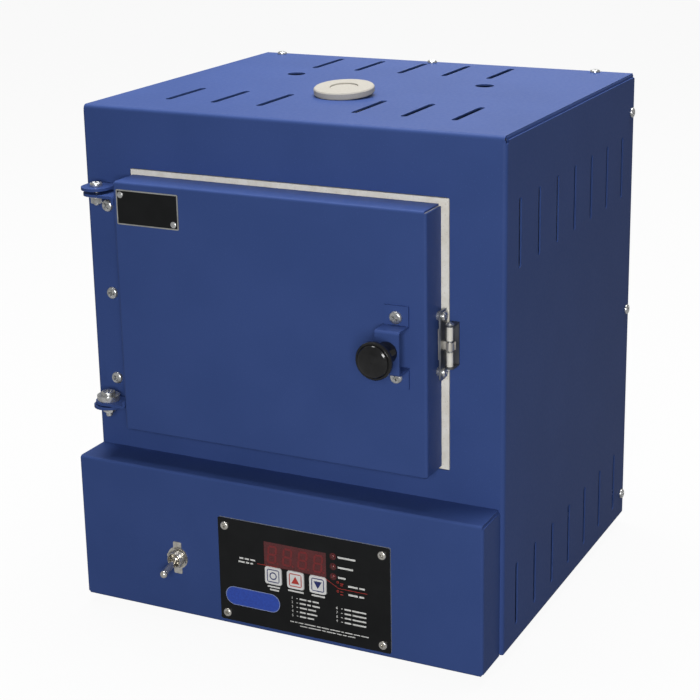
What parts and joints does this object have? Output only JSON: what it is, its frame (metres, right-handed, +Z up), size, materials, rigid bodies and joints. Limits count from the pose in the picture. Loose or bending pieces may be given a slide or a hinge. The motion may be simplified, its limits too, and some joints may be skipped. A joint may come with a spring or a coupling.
{
  "type": "electric kiln",
  "caption": "Bench-top electric kiln: folded blue steel case, ceramic fibre chamber, side-hinged door with knob and clip catch, and a keypad controller in its foot.",
  "frame": {"origin": "in the plane of the rubber feet, under the middle of the whole part's box", "axes": "+Z up, the door faces -Y, +X to the right as seen from the front"},
  "size_m": [0.3346, 0.3628, 0.3897],
  "materials": {
    "blue_enamel": "semi-matt blue powder coat on folded sheet steel",
    "zinc_steel": "zinc-plated steel screws, nuts, washers, pins and rivets",
    "galvanised": "plain galvanised sheet",
    "fibre": "off-white ceramic fibre board",
    "porcelain": "unglazed ceramic",
    "element_alloy": "dark oxidised resistance wire",
    "brass": "plain brass",
    "rubber": "black rubber",
    "black_gloss": "black phenolic",
    "black_matte": "black plastic",
    "spring_steel": "bare spring steel",
    "nylon": "white nylon",
    "plate_black": "black anodised plate with a bare metal edge",
    "overlay": "satin black polycarbonate overlay",
    "red_window": "dark red display window",
    "key_white": "white key caps",
    "led_red": "red indicator lenses",
    "circuit": "green circuit board",
    "block_cream": "cream thermoplastic",
    "chrome": "nickel-plated brass"
  },
  "bodies": {
    "case": {"case_shell": "blue_enamel", "control_box": "blue_enamel", "back_panel": "blue_enamel", "base_panel": "blue_enamel", "case_hinge_bracket": "blue_enamel", "back_panel_screws": "zinc_steel", "underside_screws": "zinc_steel", "hinge_bracket_screws": "zinc_steel", "hinge_bolts": "zinc_steel", "hinge_nuts": "zinc_steel", "hinge_washers": "zinc_steel", "pin_bracket": "zinc_steel", "roller_pin": "zinc_steel", "control_plate_screws": "zinc_steel", "muffle_tray": "galvanised", "heat_shield": "galvanised", "front_board": "fibre", "muffle": "fibre", "muffle_roof": "fibre", "vent_sleeve": "porcelain", "terminal_bushings": "porcelain", "thermocouple_block": "porcelain", "element_left": "element_alloy", "element_right": "element_alloy", "thermocouple": "element_alloy", "element_terminals": "brass", "board_standoffs": "brass", "feet": "rubber", "display_module": "black_matte", "key_switches": "black_matte", "toggle_switch": "black_matte", "relay": "black_matte", "cord_gland": "black_matte", "gland_nut": "black_matte", "control_plate": "overlay", "display_window": "red_window", "indicator_leds": "led_red", "circuit_board": "circuit", "terminal_block": "block_cream", "toggle_nut": "chrome", "toggle_plate": "chrome"},
    "door": {"door_pan": "blue_enamel", "door_lining": "fibre", "door_hinge_bracket": "blue_enamel", "door_rivets": "zinc_steel", "nameplate": "plate_black", "handle_bracket": "blue_enamel", "handle_screws": "zinc_steel", "knob": "black_gloss", "catch_plate": "galvanised", "catch_spacers": "zinc_steel", "catch_screws": "zinc_steel", "catch_spring": "spring_steel"},
    "plug": {"vent_plug": "porcelain"},
    "lever": {"toggle_lever": "chrome"},
    "start_key": {"key_start": "key_white"},
    "up_key": {"key_up": "key_white"},
    "down_key": {"key_down": "key_white"},
    "upper_roller": {"roller_upper": "nylon"},
    "lower_roller": {"roller_lower": "nylon"}
  },
  "joints": [
    {"name": "door_hinge", "type": "hinge", "parent": "case", "child": "door", "pos_m": [-0.1455, -0.13105, 0.2411], "axis": [0, 0, -1], "range_deg": [0, 180]},
    {"name": "plug_lift", "type": "slide", "parent": "case", "child": "plug", "axis": [0, 0, 1], "range_m": [0, 0.06]},
    {"name": "toggle", "type": "hinge", "parent": "case", "child": "lever", "pos_m": [-0.081, -0.14955, 0.052], "axis": [-1, 0, 0], "range_deg": [0, 32]},
    {"name": "start_press", "type": "slide", "parent": "case", "child": "start_key", "axis": [0, 1, 0], "range_m": [0, 0.0004], "stiffness_N_per_m": 1500, "springref_m": -0.0004},
    {"name": "up_press", "type": "slide", "parent": "case", "child": "up_key", "axis": [0, 1, 0], "range_m": [0, 0.0004], "stiffness_N_per_m": 1500, "springref_m": -0.0004},
    {"name": "down_press", "type": "slide", "parent": "case", "child": "down_key", "axis": [0, 1, 0], "range_m": [0, 0.0004], "stiffness_N_per_m": 1500, "springref_m": -0.0004},
    {"name": "upper_roller_spin", "type": "hinge", "parent": "case", "child": "upper_roller", "pos_m": [0.1285, -0.12415, 0.24575], "axis": [0, 0, 1], "continuous": true},
    {"name": "lower_roller_spin", "type": "hinge", "parent": "case", "child": "lower_roller", "pos_m": [0.1285, -0.12415, 0.22745], "axis": [0, 0, 1], "continuous": true}
  ]
}
